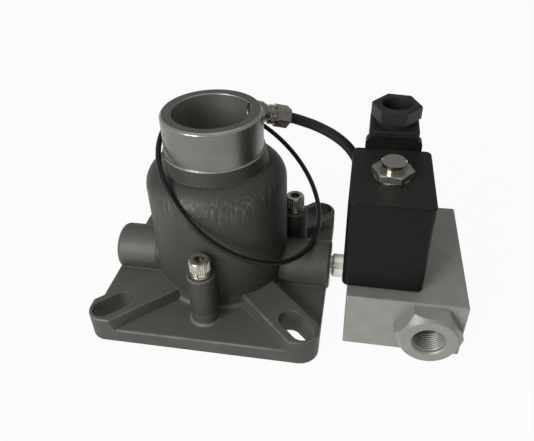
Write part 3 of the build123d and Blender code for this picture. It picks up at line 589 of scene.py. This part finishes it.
class PlatedFittingsOperator(bpy.types.Operator):
    """Nickel plate on the hose fittings, the nipple and the coil nut"""

    bl_idname = "intake_valve.plated_fittings"
    bl_label = "Plated fittings"

    def execute(self, context):
        finish = context.scene.intake_valve_finish
        plate = Recipe("nickel plate", metallic=0.85)
        point = plate.point()
        edge = plate.edges(0.0003)
        haze = plate.noise(point, 0.003, detail=4.0)
        plate.paint(
            # Painted highlight: the edges lighter
            base_color=plate.mix(
                haze.ramp(0.3, 0.7) * 0.7 + edge * 0.3, shade(finish.plated, 0.55), finish.plated
            ),
            roughness=0.16 + 0.12 * haze,
        )
        plate.bump(plate.noise(point, 0.0004, detail=2.0), 0.00002)
        dress(
            plate,
            "neck_fitting",
            "neck_fitting_nut",
            "block_fitting",
            "block_fitting_nut",
            "coil_nut",
        )

        # Painted reflection: the nipple's colour near white, lighter than the chrome
        nipple_painted_reflection = Recipe("polished nickel", metallic=0.4)
        haze = nipple_painted_reflection.noise(nipple_painted_reflection.point(), 0.003)
        nipple_painted_reflection.paint(
            base_color=nipple_painted_reflection.mix(haze, shade(finish.chrome, 1.5), shade(finish.chrome, 1.9)),
            roughness=0.08 + 0.06 * haze,
        )
        dress(nipple_painted_reflection, "nipple")
        return {"FINISHED"}


class FastenersOperator(bpy.types.Operator):
    """Zinc plate on the screws, washers, plug and nuts"""

    bl_idname = "intake_valve.fasteners"
    bl_label = "Screws and washers"

    def execute(self, context):
        finish = context.scene.intake_valve_finish
        zinc = Recipe("zinc plate", metallic=0.95)
        point = zinc.point()
        x, y, z = zinc.axes(point)
        edge = zinc.edges(0.00025)
        haze = zinc.noise(point, 0.0025, detail=4.0)
        # Painted highlight: the edges lighter
        plain = zinc.mix(
            haze.ramp(0.3, 0.7) * 0.7 + edge * 0.3,
            shade(finish.zinc, 0.7),
            shade(finish.zinc, 1.35),
        )
        # Painted shade: the screws' key holes nearly black
        key_hole_painted_shade = sum(
            ((x - across) ** 2 + (y - along) ** 2).root() < KEY_HOLE_REACH
            for across, along in SCREW_PLACES
        )
        key_hole_painted_shade = key_hole_painted_shade * (z > KEY_HOLE_LOW_Z) * (z < KEY_HOLE_TOP_Z)
        zinc.paint(
            base_color=zinc.mix(key_hole_painted_shade * 0.75, plain, shade(finish.zinc, 0.12)),
            roughness=0.18 + 0.12 * haze,
        )
        zinc.bump(zinc.noise(point, 0.0005, detail=2.0), 0.00003)
        dress(
            zinc,
            "cap_screws",
            "lock_washers",
            "plain_washers",
            "coil_washer",
            "clamp_nut",
            "plug_screw",
            "block_plug",
        )
        return {"FINISHED"}


class HeadKnurlOperator(bpy.types.Operator):
    """Straight knurl round the heads of the cap screws"""

    bl_idname = "intake_valve.head_knurl"
    bl_label = "Screw head knurl"

    def execute(self, context):
        head_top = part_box("cap_screws")[1][2]
        heights = (head_top - 0.0060, head_top - 0.0007)
        ridges = 30
        half = math.tau / ridges * 0.36  # of a ridge's width, as an angle
        sunk = HEAD_RADIUS - 0.00005
        proud = HEAD_RADIUS + 0.00028
        mesh = bmesh.new()
        for across, along in SCREW_PLACES:
            for i in range(ridges):
                middle = math.tau * i / ridges
                left, crest, right = (
                    [
                        mesh.verts.new(
                            (across + reach * math.cos(angle), along + reach * math.sin(angle), z)
                        )
                        for z in heights
                    ]
                    for angle, reach in (
                        (middle - half, sunk),
                        (middle, proud),
                        (middle + half, sunk),
                    )
                )
                mesh.faces.new((left[0], crest[0], crest[1], left[1]))
                mesh.faces.new((crest[0], right[0], right[1], crest[1]))
                mesh.faces.new((left[1], crest[1], right[1]))
                mesh.faces.new((right[0], crest[0], left[0]))
                mesh.faces.new((left[0], left[1], right[1], right[0]))
        knurl = drawn_piece(context, "screw_head_knurl", mesh, "zinc plate")
        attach(knurl, "root")
        return {"FINISHED"}


class RubberOperator(bpy.types.Operator):
    """Black rubber on the hose, the loose flange ring and every seal"""

    bl_idname = "intake_valve.rubber"
    bl_label = "Hose and rings"

    def execute(self, context):
        finish = context.scene.intake_valve_finish
        seals = (
            "flange_seal",
            "feed_seal",
            "cap_seal",
            "piston_seal",
            "disc_seal",
            "tube_seal",
            "plunger_seal",
            "plug_gasket",
        )
        for name, colour, nodes in (
            ("hose rubber", finish.hose, ("bleed_hose",)),
            ("black rubber", finish.rubber, seals),
        ):
            rubber = Recipe(name, specular_ior_level=0.4)
            cloud, fine = rubber.mottle(colour, dark=0.7, light=1.3, lump=0.006, speck=0.0007)
            rubber.paint(roughness=0.38 + 0.16 * (cloud - 0.5))
            rubber.bump(fine, 0.00004)
            dress(rubber, *nodes)
        return {"FINISHED"}


class MechanismOperator(bpy.types.Operator):
    """Turned metal on the guide base, the piston, the valve disc, the plunger and the springs"""

    bl_idname = "intake_valve.mechanism"
    bl_label = "Inner mechanism"

    def execute(self, context):
        finish = context.scene.intake_valve_finish
        cut = Recipe("machined base", metallic=0.7)
        cloud, fine = cut.mottle(finish.machined)
        cut.paint(roughness=0.4 + 0.14 * (cloud - 0.5))
        cut.bump(fine, 0.00004)
        dress(cut, "guide_base", "cylinder_cap", "piston")

        steel = Recipe("turned steel", metallic=0.95)
        cloud, fine = steel.mottle(finish.steel, speck=0.0004)
        steel.paint(roughness=0.32 + 0.14 * (cloud - 0.5))
        steel.bump(fine, 0.00002)
        dress(
            steel,
            "valve_disc",
            "clamp_plate",
            "plunger",
            "disc_spring",
            "piston_spring",
            "plunger_spring",
            "retaining_ring",
        )

        bush = Recipe("sintered bronze", metallic=0.9)
        cloud, fine = bush.mottle(finish.bronze, speck=0.0005)
        bush.paint(roughness=0.45 + 0.14 * (cloud - 0.5))
        dress(bush, "rod_bush")
        return {"FINISHED"}


class SpringsOperator(bpy.types.Operator):
    """Copies of the coil springs, each carried by the body of the valve disc, the piston or the
    plunger
    """

    bl_idname = "intake_valve.springs"
    bl_label = "Springs"

    def spring(self, context, node, body, joint, moving_end):
        """Replaces a packed spring by its copy, attached to the body that moves."""
        travel = {each["name"]: each["range_m"][1] for each in behaviour["joints"]}[joint]
        low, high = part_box(node)
        length = high[2] - low[2]
        wire = bpy.data.objects.new(node + "_wire", frame["nodes"][node].data.copy())
        context.scene.collection.objects.link(wire)
        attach(wire, body)
        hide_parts(node)
        1 - travel / length
        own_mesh(wire)

    def execute(self, context):
        bottom, top = 0, 1
        self.spring(context, "disc_spring", "intake_disc", "intake_disc_slide", top)
        self.spring(context, "piston_spring", "unloader", "unloader_slide", top)
        self.spring(context, "plunger_spring", "solenoid_plunger", "plunger_slide", bottom)
        return {"FINISHED"}


class StageOperator(bpy.types.Operator):
    """White floor and surroundings, two soft lamps and the camera"""

    bl_idname = "intake_valve.stage"
    bl_label = "Stage"

    def floor(self, context, stage):
        """A square floor that the camera and the gloss on the metal see as nearly white."""
        half = stage.floor_size / 2
        low = cad_box[0][2] - FLOOR_DROP
        corners = [(-half, -half, low), (half, -half, low), (half, half, low), (-half, half, low)]
        data = bpy.data.meshes.new("floor")
        data.from_pydata(corners, [], [(0, 1, 2, 3)])
        floor = bpy.data.objects.new("floor", data)
        context.scene.collection.objects.link(floor)
        paper = Recipe("white paper", roughness=0.9, specular_ior_level=0.0)
        paper.paint(base_color=(0.5, 0.5, 0.5))
        seen = paper.node("ShaderNodeLightPath", out="Is Camera Ray")
        shine = paper.node("ShaderNodeLightPath", out="Is Glossy Ray")
        glow = paper.node("ShaderNodeEmission", sockets={"Color": (1, 1, 1), "Strength": 1.0})
        share = seen.most(shine) * FLOOR_GLOW
        plain = Wire(paper, paper.shader.outputs[0])
        surface = paper.node("ShaderNodeMixShader", sockets={0: share, 1: plain, 2: glow})
        paper.tree.links.new(surface.socket, paper.output.inputs["Surface"])
        data.materials.append(paper.material)

    def surroundings(self, context, stage):
        """A plain light all round, which the camera sees as white."""
        world = bpy.data.worlds.new("surroundings")
        world.use_nodes = True
        context.scene.world = world
        tree = world.node_tree
        tree.nodes.clear()
        path = tree.nodes.new("ShaderNodeLightPath")
        mixed = tree.nodes.new("ShaderNodeMixShader")
        out = tree.nodes.new("ShaderNodeOutputWorld")
        tree.links.new(path.outputs["Is Camera Ray"], mixed.inputs[0])
        for i, strength in ((1, stage.sky), (2, 1.0)):
            background = tree.nodes.new("ShaderNodeBackground")
            background.inputs["Color"].default_value = (1, 1, 1, 1)
            background.inputs["Strength"].default_value = strength
            tree.links.new(background.outputs[0], mixed.inputs[i])
        tree.links.new(mixed.outputs[0], out.inputs["Surface"])

    def lamp(self, context, name, power, size, place):
        """A square soft lamp that looks at the valve."""
        light = bpy.data.lights.new(name, "AREA")
        light.energy = power
        light.size = size
        lamp = bpy.data.objects.new(name, light)
        lamp.location = place
        gaze = Vector(LAMP_AIM) - Vector(place)
        lamp.rotation_euler = gaze.to_track_quat("-Z", "Y").to_euler()
        context.scene.collection.objects.link(lamp)

    def camera(self, context, stage):
        """The camera, at the photograph's viewing angle."""
        camera = bpy.data.cameras.new("camera")
        camera.lens = stage.lens
        camera.sensor_width = SENSOR_WIDTH
        camera.clip_start = 0.01
        viewer = bpy.data.objects.new("camera", camera)
        context.scene.collection.objects.link(viewer)
        ahead = Vector(
            (
                -math.sin(stage.yaw) * math.cos(stage.pitch),
                math.cos(stage.yaw) * math.cos(stage.pitch),
                -math.sin(stage.pitch),
            )
        )
        right = Vector((math.cos(stage.yaw), math.sin(stage.yaw), 0.0))
        up = right.cross(ahead)
        lean = math.cos(stage.roll), math.sin(stage.roll)
        right, up = right * lean[0] + up * lean[1], up * lean[0] - right * lean[1]
        turn = Matrix((right, up, -ahead)).transposed().to_4x4()
        viewer.matrix_world = Matrix.Translation(Vector(stage.eye)) @ turn
        context.scene.camera = viewer

    def execute(self, context):
        stage = context.scene.intake_valve_stage
        self.floor(context, stage)
        self.surroundings(context, stage)
        self.lamp(context, "key lamp", stage.key, KEY_SIZE, KEY_PLACE)
        self.lamp(context, "fill lamp", stage.fill, FILL_SIZE, FILL_PLACE)
        self.camera(context, stage)
        context.scene.view_settings.view_transform = "Standard"
        return {"FINISHED"}


class IntakeValvePanel(bpy.types.Panel):
    """The finishes and the stage, each with its button"""

    bl_idname = "VIEW3D_PT_intake_valve"
    bl_label = "Intake Valve"
    bl_space_type = "VIEW_3D"
    bl_region_type = "UI"
    bl_category = "Intake Valve"

    def draw(self, context):
        for group in (context.scene.intake_valve_finish, context.scene.intake_valve_stage):
            box = self.layout.box()
            for name in type(group).__annotations__:
                box.prop(group, name)
        for step in steps:
            self.layout.operator(step.bl_idname)


# The thread, the knurl and the springs take finishes that the steps before them make
steps = (
    CastingOperator,
    ControlBlockOperator,
    PortThreadOperator,
    SolenoidOperator,
    PlatedFittingsOperator,
    FastenersOperator,
    HeadKnurlOperator,
    RubberOperator,
    MechanismOperator,
    SpringsOperator,
    StageOperator,
)
classes = (IntakeValveFinish, IntakeValveStage, *steps, IntakeValvePanel)


def register():
    for each in classes:
        bpy.utils.register_class(each)
    bpy.types.Scene.intake_valve_finish = bpy.props.PointerProperty(type=IntakeValveFinish)
    bpy.types.Scene.intake_valve_stage = bpy.props.PointerProperty(type=IntakeValveStage)


def unregister():
    del bpy.types.Scene.intake_valve_stage
    del bpy.types.Scene.intake_valve_finish
    for each in reversed(classes):
        bpy.utils.unregister_class(each)


def main():
    """Runs every step in order."""
    register()
    for step in steps:
        group, name = step.bl_idname.split(".")
        getattr(getattr(bpy.ops, group), name)()


if __name__ == "__main__":
    main()
